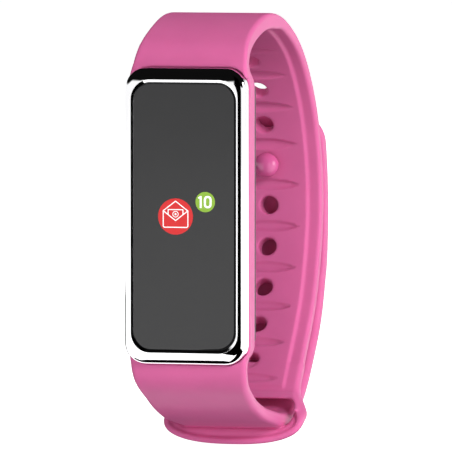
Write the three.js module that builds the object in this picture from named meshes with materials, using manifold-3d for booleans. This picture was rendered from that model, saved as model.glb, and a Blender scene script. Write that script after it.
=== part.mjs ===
// Fitness tracker band: a chromed tracker module in a one-piece silicone band, closed as it is worn.
// Millimetres. +X runs across the band, +Y from the display towards the clasp side, +Z along the display.
// The origin is the centre of the wrist opening.
import * as THREE from 'three';
import { mergeVertices } from 'three/addons/utils/BufferGeometryUtils.js';
import Module from 'manifold-3d';

const wasm = await Module();
wasm.setup();

// ---- Driving dimensions ----

const GAP = 0.3;

// Tracker module. Its own frame has Y = 0 at the front of the bezel and Z = 0 at mid length.
const MODULE_FRONT_Y = -27.4;
const MODULE_CENTRE_Z = 1.5;
const BEZEL = { width: 18.6, length: 44, corner: 3.2, depth: 2.6, bevel: 0.4 };
const WINDOW = { width: 16.4, length: 40.1, corner: 3 };
const GLASS = { width: 16, length: 39.7, corner: 2.8, front: 0.35, thickness: 0.8 };
const CASE = { width: 16.2, length: 41, corner: 2.4, front: 2.9, back: 10.8, wall: 0.9, rear: 1 };

// Layers under the glass, and the frame, board and cells inside the case.
const FILM = { width: 15.2, length: 38.8, corner: 2.4, thickness: 0.2 };
const VIEWING_AREA = { width: 13.6, length: 36.4, corner: 1 };
const PANEL = { width: 13, length: 32, thickness: 1 };
const MIDFRAME = { width: 13.1, length: 38.9, corner: 1.4, front: 3, back: 3.6 };
const BOARD = { width: 12.4, length: 37, corner: 1, front: 7, back: 7.6 };
const BOSSES = [[-5, 17.5], [5, 17.5], [-5, -17.2], [5, -17.2]];
const BATTERY = { width: 11, corner: 0.8, front: 3.8, back: 6.7, low: -1.4, high: 16 };
const MOTOR = { z: -12.9, radius: 3.9, front: 3.75, back: 6.5, wall: 0.25, weightRadius: 3.3 };
const CONTACT = { x: 2.5, z: -13, radius: 0.9 };

// Silicone band.
const CRADLE = { width: 18.3, length: 44.6, corner: 3.2, front: 2.9, back: 6.6 };
const STRAP_THICKNESS = 2.2;
const HOLE_STRAP_THICKNESS = 2.4;
const STRAP_ROOT_THICKNESS = 3.2;
const STRAP_HALF_WIDTH = 8.15;
const HOLE = { count: 9, pitch: 6.63, radius: 1.4, first: 37.95, pegIndex: 3 };
const RING = { halfWidth: 10.9, noseDepth: 3.9, flareZ: -25, widestZ: -30.1, thickness: 1.7 };
const SLOT = { halfWidth: 8.85, low: -31.6, high: -27.4, corner: 1.5 };

// Strap tail and peg.
const TAIL = { hingeZ: -8.5, tipZ: 15.2, tipCorner: 5 };
const PEG = { stem: 1, ball: 1.875, flange: 2.4, flangeThickness: 0.7, ballLift: 0.5 };

// ---- Helpers ----

const COLOURS = {
  pink: [0xd4609f, 0.55, 0],
  glossPink: [0xe070ac, 0.2, 0],
  chrome: [0xe8e8ea, 0.08, 1],
  glass: [0x26272a, 0.08, 0],
  blackPlastic: [0x1c1d20, 0.6, 0],
  greyPlastic: [0x55585c, 0.6, 0],
  film: [0x3a3c46, 0.3, 0],
  tape: [0x16171a, 0.9, 0],
  amber: [0xb8742a, 0.5, 0],
  board: [0x14503a, 0.6, 0],
  chip: [0x1a1a1c, 0.5, 0],
  white: [0xe4e2dc, 0.5, 0],
  steel: [0xb9bcc0, 0.3, 1],
  gold: [0xd9aa4a, 0.25, 1],
  pouch: [0xc2c6ca, 0.35, 1],
  redWire: [0xb02020, 0.5, 0],
  blackWire: [0x181818, 0.5, 0],
};

function mesh(name, geometry, colour) {
  const [color, roughness, metalness] = COLOURS[colour];
  const made = new THREE.Mesh(geometry, new THREE.MeshStandardMaterial({ color, roughness, metalness }));
  made.name = name;
  return made;
}

function solid(geometry) {
  const bare = geometry.clone();
  bare.deleteAttribute('normal');
  bare.deleteAttribute('uv');
  const merged = mergeVertices(bare, 1e-4);
  return new wasm.Manifold(new wasm.Mesh({
    numProp: 3,
    vertProperties: new Float32Array(merged.attributes.position.array),
    triVerts: new Uint32Array(merged.index.array),
  }));
}

function geometryOf(manifold) {
  const { vertProperties, triVerts } = manifold.getMesh();
  const geometry = new THREE.BufferGeometry();
  geometry.setAttribute('position', new THREE.BufferAttribute(new Float32Array(vertProperties), 3));
  geometry.setIndex(new THREE.BufferAttribute(new Uint32Array(triVerts), 1));
  geometry.computeVertexNormals();
  return geometry;
}

// A prism whose outline is in X and Z, from the plane Y = front to the plane Y = back.
function slab(shape, front, back, curveSegments = 6) {
  const geometry = new THREE.ExtrudeGeometry(shape, { depth: back - front, bevelEnabled: false, curveSegments });
  return geometry.rotateX(Math.PI / 2).translate(0, back, 0);
}

// A prism whose outline is in X and Y, from the plane Z = low to the plane Z = high.
function column(shape, low, high, curveSegments = 10) {
  const geometry = new THREE.ExtrudeGeometry(shape, { depth: high - low, bevelEnabled: false, curveSegments });
  return geometry.translate(0, 0, low);
}

// A prism whose outline is in Y and Z, across the whole width.
function acrossX(shape, halfWidth) {
  const geometry = new THREE.ExtrudeGeometry(shape, { depth: 2 * halfWidth, bevelEnabled: false, curveSegments: 6 });
  const turn = new THREE.Matrix4().makeBasis(
    new THREE.Vector3(0, 1, 0),
    new THREE.Vector3(0, 0, 1),
    new THREE.Vector3(1, 0, 0),
  );
  return geometry.applyMatrix4(turn).translate(-halfWidth, 0, 0);
}

function roundedRect(width, length, corner, x = 0, z = 0) {
  const shape = new THREE.Shape();
  const a = width / 2 - corner;
  const b = length / 2 - corner;
  shape.absarc(x + a, z + b, corner, 0, Math.PI / 2);
  shape.absarc(x - a, z + b, corner, Math.PI / 2, Math.PI);
  shape.absarc(x - a, z - b, corner, Math.PI, 1.5 * Math.PI);
  shape.absarc(x + a, z - b, corner, 1.5 * Math.PI, 2 * Math.PI);
  shape.closePath();
  return shape;
}

function circlePoints(radius, count) {
  return Array.from({ length: count }, (_, i) => {
    const angle = (2 * Math.PI * i) / count;
    return new THREE.Vector2(radius * Math.cos(angle), radius * Math.sin(angle));
  });
}

function frameShape(outer, inner) {
  outer.holes.push(inner);
  return outer;
}

function box(name, size, centre, colour) {
  return mesh(name, new THREE.BoxGeometry(...size).translate(...centre), colour);
}

// A cylinder along Y.
function disc(radius, front, back, x = 0, z = 0, segments = 20) {
  return new THREE.CylinderGeometry(radius, radius, back - front, segments).translate(x, (front + back) / 2, z);
}

function curveOf(points) {
  const places = points.map(([y, z]) => new THREE.Vector3(0, y, z));
  return new THREE.CatmullRomCurve3(places, false, 'centripetal');
}

// Point and outward normal of a strap's mid line at a distance along it, turned by side (+1 or -1).
function station(curve, distance, side) {
  const u = THREE.MathUtils.clamp(distance / curve.getLength(), 0, 1);
  const point = curve.getPointAt(u);
  const along = curve.getTangentAt(u);
  return { point, normal: new THREE.Vector3(0, side * along.z, -side * along.y) };
}

// The side view of a strap: its mid line with half the thickness on each side.
function ribbon(curve, from, to, steps, thickness) {
  const upper = [];
  const lower = [];
  for (let i = 0; i <= steps; i += 1) {
    const distance = THREE.MathUtils.lerp(from, to, i / steps);
    const { point, normal } = station(curve, distance, 1);
    const half = thickness(distance) / 2;
    upper.push(new THREE.Vector2(point.y + half * normal.y, point.z + half * normal.z));
    lower.unshift(new THREE.Vector2(point.y - half * normal.y, point.z - half * normal.z));
  }
  return new THREE.Shape([...upper, ...lower]);
}

function thicknessFromRoot(thickness) {
  return (distance) => {
    const fade = THREE.MathUtils.smoothstep(distance, 0, 9);
    return THREE.MathUtils.lerp(STRAP_ROOT_THICKNESS, thickness, fade);
  };
}

// ---- Band outline in the Y-Z plane ----

// Mid line of the hole strap: up from the module, over the wrist and down the clasp side.
const holeStrapLine = curveOf([
  [-24.4, 21],
  [-21.6, 25.9],
  [-14.4, 29.1],
  [-7.6, 30],
  [0, 28.7],
  [9, 24],
  [16.6, 14.3],
  [19.5, 1.5],
  [16.1, -12],
  [8.8, -22.5],
  [5.8, -26.4],
]);

// Mid line of the ring that the hole strap ends in: forwards, then down in front of the slot.
const ringLine = curveOf([
  [8.8, -22.5],
  [5.8, -26.4],
  [2.2, -28.8],
  [-0.9, -30.6],
  [-1.8, -32],
  [-2.1, -34.2],
]);

// Mid line of the lower strap: under the wrist, through the slot and up outside the hole strap.
const tailStrapLine = curveOf([
  [-24.4, -18],
  [-23.4, -22.6],
  [-18.7, -25.9],
  [-12.1, -28.4],
  [-5.1, -29.75],
  [-0.4, -30.35],
  [4.6, -30.1],
  [9.5, -27],
  [13.2, -23.4],
  [18.6, -16.4],
  [21.3, -9.3],
  [22.35, -1],
  [22.05, 5],
  [20.6, 12],
  [18.5, 16.6],
]);

const RING_END = ringLine.getLength();

// Half width of the band, seen along Z: it narrows from the cradle to the straps.
function bandPlan() {
  const shape = new THREE.Shape();
  const wide = CRADLE.width / 2;
  shape.moveTo(-wide, -30);
  shape.lineTo(wide, -30);
  shape.lineTo(wide, -25.6);
  shape.bezierCurveTo(8.5, -23.4, 8.1, -21, STRAP_HALF_WIDTH, -14);
  shape.lineTo(STRAP_HALF_WIDTH, 30);
  shape.lineTo(-STRAP_HALF_WIDTH, 30);
  shape.lineTo(-STRAP_HALF_WIDTH, -14);
  shape.bezierCurveTo(-8.1, -21, -8.5, -23.4, -wide, -25.6);
  return shape;
}

// The ring, seen along Y: it flares out from the strap and ends in a half ellipse.
function ringPlan() {
  const narrow = STRAP_HALF_WIDTH;
  const wide = RING.halfWidth;
  const shape = new THREE.Shape();
  shape.moveTo(narrow, -18);
  shape.lineTo(narrow, RING.flareZ);
  shape.bezierCurveTo(narrow, -27.6, wide, -28.6, wide, RING.widestZ);
  shape.absellipse(0, RING.widestZ, wide, RING.noseDepth, 0, -Math.PI, true);
  shape.bezierCurveTo(-wide, -28.6, -narrow, -27.6, -narrow, RING.flareZ);
  shape.lineTo(-narrow, -18);
  return shape;
}

function strapHole(index, radius, reach) {
  const { point, normal } = station(holeStrapLine, HOLE.first + index * HOLE.pitch, -1);
  const turn = new THREE.Quaternion().setFromUnitVectors(new THREE.Vector3(0, 1, 0), normal);
  const cutter = new THREE.CylinderGeometry(radius, radius, reach, 16);
  return cutter.applyQuaternion(turn).translate(point.x, point.y, point.z);
}

// ---- Silicone parts ----

function siliconeBand() {
  const plan = solid(column(bandPlan(), -45, 45));
  const holeStrap = solid(acrossX(
    ribbon(holeStrapLine, 0, holeStrapLine.getLength(), 56, thicknessFromRoot(HOLE_STRAP_THICKNESS)),
    12,
  )).intersect(plan);
  const tailStrap = solid(acrossX(
    ribbon(tailStrapLine, 0, tailStrapLine.getLength(), 60, thicknessFromRoot(STRAP_THICKNESS)),
    12,
  )).intersect(plan);
  const belowHinge = solid(column(new THREE.Shape([
    new THREE.Vector2(-20, -40),
    new THREE.Vector2(20, -40),
    new THREE.Vector2(20, 40),
    new THREE.Vector2(-20, 40),
  ]), -45, TAIL.hingeZ - GAP / 2));
  const ring = solid(acrossX(ribbon(ringLine, 0, RING_END, 16, () => RING.thickness), 12))
    .intersect(solid(slab(ringPlan(), -12, 14, 14)));
  const slot = solid(slab(
    roundedRect(2 * SLOT.halfWidth, SLOT.high - SLOT.low, SLOT.corner, 0, (SLOT.low + SLOT.high) / 2),
    -12,
    7,
  ));
  const cradle = solid(slab(
    roundedRect(CRADLE.width, CRADLE.length, CRADLE.corner),
    CRADLE.front,
    CRADLE.back,
  ).translate(0, MODULE_FRONT_Y, MODULE_CENTRE_Z));
  const pocket = solid(slab(
    roundedRect(CASE.width + 0.4, CASE.length + 0.4, CASE.corner + 0.2),
    -5,
    15,
  ).translate(0, MODULE_FRONT_Y, MODULE_CENTRE_Z));
  const bezelSeat = solid(slab(
    roundedRect(BEZEL.width + 2 * GAP, BEZEL.length + 2 * GAP, BEZEL.corner + GAP),
    -5,
    BEZEL.depth + GAP,
  ).translate(0, MODULE_FRONT_Y, MODULE_CENTRE_Z));
  let band = holeStrap.add(ring).subtract(slot);
  band = band.add(tailStrap.intersect(belowHinge)).add(cradle).subtract(pocket).subtract(bezelSeat);
  for (let index = 0; index < HOLE.count; index += 1) {
    band = band.subtract(solid(strapHole(index, HOLE.radius, 6)));
  }
  return mesh('silicone_band', geometryOf(band), 'pink');
}

function pegSeat() {
  const { point, normal } = station(holeStrapLine, HOLE.first + HOLE.pegIndex * HOLE.pitch, -1);
  return { point, normal };
}

function strapTail() {
  const width = 2 * STRAP_HALF_WIDTH;
  const length = TAIL.tipZ - TAIL.hingeZ - GAP / 2;
  const outline = new THREE.Shape();
  outline.moveTo(-width / 2, 0);
  outline.lineTo(width / 2, 0);
  outline.absarc(width / 2 - TAIL.tipCorner, length - TAIL.tipCorner, TAIL.tipCorner, 0, Math.PI / 2);
  outline.absarc(TAIL.tipCorner - width / 2, length - TAIL.tipCorner, TAIL.tipCorner, Math.PI / 2, Math.PI);
  const window = solid(slab(outline, 10, 30, 8).translate(0, 0, TAIL.hingeZ + GAP / 2));
  const strap = solid(acrossX(
    ribbon(tailStrapLine, 0, tailStrapLine.getLength(), 60, () => STRAP_THICKNESS),
    12,
  ));
  const { point, normal } = pegSeat();
  const turn = new THREE.Quaternion().setFromUnitVectors(new THREE.Vector3(0, 1, 0), normal);
  const bore = disc(PEG.stem + 0.25, 0, 6).applyQuaternion(turn).translate(0, point.y, point.z);
  const recess = disc(PEG.flange + GAP, pegFlangeStart() - GAP, 8).applyQuaternion(turn)
    .translate(0, point.y, point.z);
  return mesh('strap_tail', geometryOf(strap.intersect(window).subtract(solid(bore)).subtract(solid(recess))), 'pink');
}

// Distance from the hole strap's mid line to the underside of the peg's flange.
function pegFlangeStart() {
  const { point } = pegSeat();
  const outside = tailStrapLine.getPoints(400).reduce((best, place) => (
    Math.abs(place.z - point.z) < Math.abs(best.z - point.z) ? place : best));
  return outside.y - point.y + STRAP_THICKNESS / 2 - PEG.flangeThickness;
}

// The stud: flange outside the tail, stem through both layers, domed head on the inner side.
function claspPeg() {
  const { point, normal } = pegSeat();
  const ballCentre = -(HOLE_STRAP_THICKNESS / 2 + PEG.ballLift);
  const flange = pegFlangeStart();
  const underside = -(HOLE_STRAP_THICKNESS / 2 + GAP);
  const rim = Math.acos((ballCentre - underside) / PEG.ball);
  const profile = [new THREE.Vector2(0, ballCentre - PEG.ball)];
  for (let i = 1; i <= 10; i += 1) {
    const angle = THREE.MathUtils.lerp(0, rim, i / 10);
    profile.push(new THREE.Vector2(PEG.ball * Math.sin(angle), ballCentre - PEG.ball * Math.cos(angle)));
  }
  profile.push(new THREE.Vector2(PEG.stem, underside));
  profile.push(new THREE.Vector2(PEG.stem, flange));
  profile.push(new THREE.Vector2(PEG.flange, flange));
  profile.push(new THREE.Vector2(PEG.flange, flange + 0.4));
  profile.push(new THREE.Vector2(PEG.flange - 0.5, flange + PEG.flangeThickness));
  profile.push(new THREE.Vector2(0, flange + PEG.flangeThickness));
  const turn = new THREE.Quaternion().setFromUnitVectors(new THREE.Vector3(0, 1, 0), normal);
  const geometry = new THREE.LatheGeometry(profile, 20).applyQuaternion(turn).translate(0, point.y, point.z);
  return mesh('clasp_peg', geometry, 'glossPink');
}

// ---- Tracker module, in its own frame ----

function bezelFrame() {
  const shape = frameShape(
    roundedRect(BEZEL.width, BEZEL.length, BEZEL.corner),
    roundedRect(WINDOW.width, WINDOW.length, WINDOW.corner),
  );
  const geometry = new THREE.ExtrudeGeometry(shape, {
    depth: BEZEL.depth - 2 * BEZEL.bevel,
    bevelThickness: BEZEL.bevel,
    bevelSize: BEZEL.bevel,
    bevelOffset: -BEZEL.bevel,
    bevelSegments: 3,
    curveSegments: 6,
  });
  return mesh('bezel_frame', geometry.rotateX(Math.PI / 2).translate(0, BEZEL.depth - BEZEL.bevel, 0), 'chrome');
}

function displayStack() {
  const glassBack = GLASS.front + GLASS.thickness;
  const filmFront = glassBack + 0.05;
  const adhesiveFront = filmFront + FILM.thickness + 0.05;
  const panelMiddle = glassBack + 0.35 + PANEL.thickness / 2;
  const glass = slab(roundedRect(GLASS.width, GLASS.length, GLASS.corner), GLASS.front, glassBack);
  const filmOutline = roundedRect(FILM.width, FILM.length, FILM.corner);
  const adhesiveOutline = frameShape(
    roundedRect(FILM.width, FILM.length, FILM.corner),
    roundedRect(VIEWING_AREA.width, VIEWING_AREA.length, VIEWING_AREA.corner),
  );
  const panelSize = [PANEL.width, PANEL.thickness, PANEL.length];
  return [
    mesh('display_glass', glass, 'glass'),
    mesh('touch_film', slab(filmOutline, filmFront, filmFront + FILM.thickness), 'film'),
    mesh('glass_adhesive', slab(adhesiveOutline, adhesiveFront, adhesiveFront + 0.15), 'tape'),
    box('display_panel', panelSize, [0, panelMiddle, 0], 'film'),
  ];
}

// The ribbon from the display's lower edge, round the end of the midframe, to the board.
function displayFlex() {
  const line = curveOf([
    [2, -16.2],
    [2, -17.6],
    [2.5, -18.6],
    [3.6, -18.95],
    [4.8, -18.75],
    [5.5, -18],
    [5.7, -17.4],
  ]);
  return mesh('display_flex', acrossX(ribbon(line, 0, line.getLength(), 14, () => 0.15), 2.4), 'amber');
}

function midframe() {
  const outline = roundedRect(MIDFRAME.width, MIDFRAME.length, MIDFRAME.corner);
  const plate = slab(outline, MIDFRAME.front, MIDFRAME.back);
  const flexSlot = new THREE.BoxGeometry(6, 2, 1.1).translate(0, 3.3, -18.9);
  let frame = solid(plate).subtract(solid(flexSlot));
  for (const [x, z] of BOSSES) {
    frame = frame.add(solid(disc(1.1, 3.3, BOARD.front - 0.1, x, z, 16)));
    frame = frame.subtract(solid(disc(0.55, 4, 8, x, z, 10)));
  }
  return mesh('midframe', geometryOf(frame), 'greyPlastic');
}

function mainBoard() {
  let board = solid(slab(roundedRect(BOARD.width, BOARD.length, BOARD.corner), BOARD.front, BOARD.back));
  for (const [x, z] of BOSSES) {
    board = board.subtract(solid(disc(0.65, 6, 9, x, z, 10)));
  }
  return mesh('main_board', geometryOf(board), 'board');
}

function boardScrew(index) {
  const [x, z] = BOSSES[index];
  const profile = [
    [0, 5],
    [0.45, 5],
    [0.45, 7.65],
    [0.95, 7.65],
    [0.95, 8],
    [0.7, 8.15],
    [0, 8.15],
  ].map(([radius, y]) => new THREE.Vector2(radius, y));
  const geometry = new THREE.LatheGeometry(profile, 12).translate(x, 0, z);
  return mesh(`board_screw_${index + 1}`, geometry, 'steel');
}

// Parts soldered to the front of the board: name, width, height off the board, length, x, z, colour.
const BOARD_PARTS = [
  ['bluetooth_processor', 4.6, 0.9, 4.6, -3, -5.2, 'chip'],
  ['flash_memory', 3, 0.8, 2.6, 1.5, -3.7, 'chip'],
  ['power_chip', 2.6, 0.8, 2.4, 1.5, -6.9, 'chip'],
  ['motion_sensor', 2, 0.9, 2, 4.6, -3.4, 'greyPlastic'],
  ['clock_crystal', 2, 0.6, 1.4, 4.6, -6, 'steel'],
  ['display_connector', 5, 1, 1, 0, -17.8, 'white'],
  ['chip_antenna', 5, 1.1, 1, 0, 17.5, 'white'],
  ['battery_connector', 1.6, 1.2, 2.4, -5.2, -13.4, 'white'],
];

function boardPart([name, width, height, length, x, z, colour]) {
  return box(name, [width, height, length], [x, BOARD.front - 0.05 - height / 2, z], colour);
}

function battery() {
  const length = BATTERY.high - BATTERY.low;
  const middle = (BATTERY.high + BATTERY.low) / 2;
  const outline = roundedRect(BATTERY.width, length, BATTERY.corner, 0, middle);
  const cell = slab(outline, BATTERY.front, BATTERY.back);
  return [
    mesh('battery', cell, 'pouch'),
    box('battery_tape', [8, 0.1, length - 3], [0, 3.7, middle], 'tape'),
  ];
}

// A lead from the battery's lower edge to its connector, beside the motor.
function batteryLead(name, x, colour) {
  const path = new THREE.CatmullRomCurve3([
    new THREE.Vector3(x, 5, -1.6),
    new THREE.Vector3(x - 0.1, 5, -4),
    new THREE.Vector3(x - 0.1, 5, -8),
    new THREE.Vector3(x + 0.3, 5, -11.9),
  ]);
  const section = new THREE.Shape(circlePoints(0.3, 8));
  const wire = new THREE.ExtrudeGeometry(section, { steps: 12, extrudePath: path });
  return mesh(name, wire, colour);
}

// Coin vibration motor: a cup closed by a base, with an eccentric weight turning between them.
function motorParts() {
  const cupProfile = [
    [0, MOTOR.front],
    [MOTOR.radius, MOTOR.front],
    [MOTOR.radius, MOTOR.back - 0.4],
    [MOTOR.radius - MOTOR.wall, MOTOR.back - 0.4],
    [MOTOR.radius - MOTOR.wall, MOTOR.front + MOTOR.wall],
    [0, MOTOR.front + MOTOR.wall],
  ].map(([radius, y]) => new THREE.Vector2(radius, y));
  const baseProfile = [
    [0, MOTOR.front + 0.6],
    [0.35, MOTOR.front + 0.6],
    [0.35, MOTOR.back - 0.3],
    [MOTOR.radius, MOTOR.back - 0.3],
    [MOTOR.radius, MOTOR.back],
    [0, MOTOR.back],
  ].map(([radius, y]) => new THREE.Vector2(radius, y));
  const weight = new THREE.Shape();
  weight.absarc(0, 0, MOTOR.weightRadius, 0, Math.PI);
  weight.absarc(0, 0, 0.9, Math.PI, 2 * Math.PI);
  const bored = solid(slab(weight, 4.4, 5.8, 10)).subtract(solid(disc(0.45, 4, 6, 0, 0, 12)));
  return {
    still: [
      mesh('motor_cup', new THREE.LatheGeometry(cupProfile, 24).translate(0, 0, MOTOR.z), 'steel'),
      mesh('motor_base', new THREE.LatheGeometry(baseProfile, 24).translate(0, 0, MOTOR.z), 'steel'),
    ],
    weight: mesh('motor_weight', geometryOf(bored).translate(0, 0, MOTOR.z), 'steel'),
  };
}

function rearCase() {
  const tub = solid(slab(roundedRect(CASE.width, CASE.length, CASE.corner), CASE.front, CASE.back));
  const inside = solid(slab(
    roundedRect(CASE.width - 2 * CASE.wall, CASE.length - 2 * CASE.wall, CASE.corner - CASE.wall),
    CASE.front - 1,
    CASE.back - CASE.rear,
  ));
  let shell = tub.subtract(inside);
  for (const side of [-1, 1]) {
    shell = shell.subtract(solid(disc(CONTACT.radius + 0.1, 9, 12, side * CONTACT.x, CONTACT.z)));
  }
  return mesh('rear_case', geometryOf(shell), 'blackPlastic');
}

function caseGasket() {
  const ring = frameShape(
    roundedRect(CASE.width, CASE.length, CASE.corner),
    roundedRect(CASE.width - 1.4, CASE.length - 1.4, CASE.corner - 0.7),
  );
  return mesh('case_gasket', slab(ring, BEZEL.depth + 0.05, CASE.front - 0.05), 'tape');
}

function chargingContact(side, name) {
  const innerFace = CASE.back - CASE.rear;
  const profile = [
    [0, innerFace - 0.28],
    [CONTACT.radius + 0.4, innerFace - 0.28],
    [CONTACT.radius + 0.4, innerFace - 0.05],
    [CONTACT.radius, innerFace - 0.05],
    [CONTACT.radius, CASE.back],
    [CONTACT.radius - 0.2, CASE.back + 0.15],
    [0, CASE.back + 0.15],
  ].map(([radius, y]) => new THREE.Vector2(radius, y));
  const pin = new THREE.LatheGeometry(profile, 20).translate(side * CONTACT.x, 0, CONTACT.z);
  return mesh(`charging_contact_${name}`, pin, 'gold');
}

function contactSpring(side, name) {
  const tip = CASE.back - CASE.rear - 0.38;
  const line = curveOf([[7.72, -15.6], [7.72, -14.8], [tip - 0.12, -13.5], [tip, -12.5]]);
  const leaf = acrossX(ribbon(line, 0, line.getLength(), 6, () => 0.12), 0.6);
  return mesh(`contact_spring_${name}`, leaf.translate(side * CONTACT.x, 0, 0), 'gold');
}

function trackerModule() {
  const motor = motorParts();
  const pieces = new THREE.Group();
  pieces.add(
    bezelFrame(),
    ...displayStack(),
    displayFlex(),
    midframe(),
    mainBoard(),
    ...BOARD_PARTS.map(boardPart),
    ...BOSSES.map((place, index) => boardScrew(index)),
    ...battery(),
    batteryLead('battery_lead_red', -4.9, 'redWire'),
    batteryLead('battery_lead_black', -5.9, 'blackWire'),
    ...motor.still,
    motor.weight,
    rearCase(),
    caseGasket(),
  );
  for (const [side, name] of [[-1, 'left'], [1, 'right']]) {
    pieces.add(chargingContact(side, name), contactSpring(side, name));
  }
  pieces.position.set(0, MODULE_FRONT_Y, MODULE_CENTRE_Z);
  return pieces;
}

// ---- Assembly ----

const group = new THREE.Group();
group.add(siliconeBand(), strapTail(), claspPeg(), trackerModule());

export default group;
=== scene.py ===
"""Looks of the fitness tracker band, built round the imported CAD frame. Its own shapes are in mm."""
import math

import bpy
import numpy as np
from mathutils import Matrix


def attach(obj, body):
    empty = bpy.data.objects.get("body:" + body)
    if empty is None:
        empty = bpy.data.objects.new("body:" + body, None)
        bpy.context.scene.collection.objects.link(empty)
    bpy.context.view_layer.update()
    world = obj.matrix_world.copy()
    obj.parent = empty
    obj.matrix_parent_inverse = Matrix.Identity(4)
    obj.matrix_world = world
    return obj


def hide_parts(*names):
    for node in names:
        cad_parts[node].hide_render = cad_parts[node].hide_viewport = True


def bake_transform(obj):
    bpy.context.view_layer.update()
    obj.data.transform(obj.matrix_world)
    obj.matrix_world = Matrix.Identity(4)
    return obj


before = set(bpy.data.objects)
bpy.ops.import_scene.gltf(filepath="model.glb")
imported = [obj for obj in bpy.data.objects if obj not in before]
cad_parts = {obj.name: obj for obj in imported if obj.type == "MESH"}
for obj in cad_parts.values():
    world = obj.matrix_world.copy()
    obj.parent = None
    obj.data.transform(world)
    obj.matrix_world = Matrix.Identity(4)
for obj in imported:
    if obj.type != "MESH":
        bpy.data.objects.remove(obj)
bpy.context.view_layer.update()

import openvdb
from mathutils import Vector

MM = 0.001

# ---- Sizes in mm: the CAD's, but the ring's slot ends 0.25 higher ----
MODULE_FRONT_Y = -27.4
MODULE_CENTRE_Z = 1.5
BEZEL_SIZE = (18.6, 44.0)
BEZEL_CORNER = 3.2
BEZEL_DEPTH = 2.6
GLASS_SIZE = (16.0, 39.7)
GLASS_CORNER = 2.8
GLASS_FRONT = 0.35
GLASS_THICKNESS = 0.8
CASE_SIZE = (16.2, 41.0)
CASE_CORNER = 2.4
CASE_FRONT, CASE_BACK = 2.9, 10.8
CRADLE_SIZE = (18.3, 44.6)
CRADLE_CORNER = 3.2
CRADLE_FRONT, CRADLE_BACK = 2.9, 6.6
SEAT_GAP = 0.3
POCKET_GAP = 0.2
STRAP_THICKNESS = 2.2
HOLE_STRAP_THICKNESS = 2.4
ROOT_THICKNESS = 3.2
ROOT_FADE = 9.0
STRAP_HALF_WIDTH = 8.15
HOLE_COUNT, HOLE_PITCH, HOLE_RADIUS, HOLE_FIRST = 9, 6.63, 1.4, 37.95
PEG_INDEX = 3
RING_HALF_WIDTH, RING_NOSE, RING_FLARE_Z, RING_WIDEST_Z, RING_THICKNESS = 10.9, 3.9, -25.0, -30.1, 1.7
SLOT_HALF_WIDTH, SLOT_LOW, SLOT_HIGH, SLOT_CORNER = 8.85, -31.35, -27.4, 1.5
PEG_STEM, PEG_BALL, PEG_FLANGE, PEG_FLANGE_THICKNESS, PEG_BALL_LIFT = 1.0, 1.875, 2.4, 0.7, 0.5
CONTACT_X, CONTACT_Z = 2.5, -13.0

HOLE_STRAP_LINE = [(-24.4, 21), (-21.6, 25.9), (-14.4, 29.1), (-7.6, 30), (0, 28.7), (9, 24),
                   (16.6, 14.3), (19.5, 1.5), (16.1, -12), (8.8, -22.5), (5.8, -26.4)]
RING_LINE = [(8.8, -22.5), (5.8, -26.4), (2.2, -28.8), (-0.9, -30.6), (-1.8, -32), (-2.1, -34.2)]
TAIL_STRAP_LINE = [(-24.4, -18), (-23.4, -22.6), (-18.7, -25.9), (-12.1, -28.4), (-5.1, -29.75),
                   (-0.4, -30.35), (4.6, -30.1), (9.5, -27), (13.2, -23.4), (18.6, -16.4),
                   (21.3, -9.3), (22.35, -1), (22.05, 5), (20.6, 12), (18.5, 16.6)]
TAIL_TIP_Z = 15.2
TAIL_TIP_CORNER = 5.0

# ---- Sizes in mm that only the looks have ----

GROOVE_HALF_LENGTH, GROOVE_HALF_HEIGHT, GROOVE_DEPTH = 5.1, 0.86, 0.5
PAD_EDGE, LEDGE_EDGE, LEDGE_DEPTH = 5.95, 6.35, 0.45
PAD_FADE_START, PAD_FADE_END = 22, 27
RING_LIP, RING_HOLLOW = 0.35, 0.5
RIM_GAP = 0.06
OUTER_STRAP_START = (2.2, -30.3)
SHARP_ANGLE_DEGREES = 11

VOXEL = 0.22
GRID_HALF_WIDTH = 11.6
GRID_Y = (-26.2, 24.6)
GRID_Z = (-35.2, 32.6)


# ---- Curves ----

def catmull(points, per_segment=70):
    """Samples of the open centripetal Catmull-Rom curve through the points, as in the CAD."""
    pts = [np.array(p, float) for p in points]
    made = []
    for i in range(len(pts) - 1):
        p1, p2 = pts[i], pts[i + 1]
        p0 = pts[i - 1] if i > 0 else 2 * p1 - p2
        p3 = pts[i + 2] if i + 2 < len(pts) else 2 * p2 - p1
        d0, d1, d2 = (((b - a) @ (b - a)) ** 0.25 for a, b in ((p0, p1), (p1, p2), (p2, p3)))
        t1 = ((p1 - p0) / d0 - (p2 - p0) / (d0 + d1) + (p2 - p1) / d1) * d1
        t2 = ((p2 - p1) / d1 - (p3 - p1) / (d1 + d2) + (p3 - p2) / d2) * d1
        w = np.arange(per_segment)[:, None] / per_segment
        made.append(p1 + t1 * w + (3 * (p2 - p1) - 2 * t1 - t2) * w ** 2 + (2 * (p1 - p2) + t1 + t2) * w ** 3)
    made.append(pts[-1][None])
    return np.concatenate(made)


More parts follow.
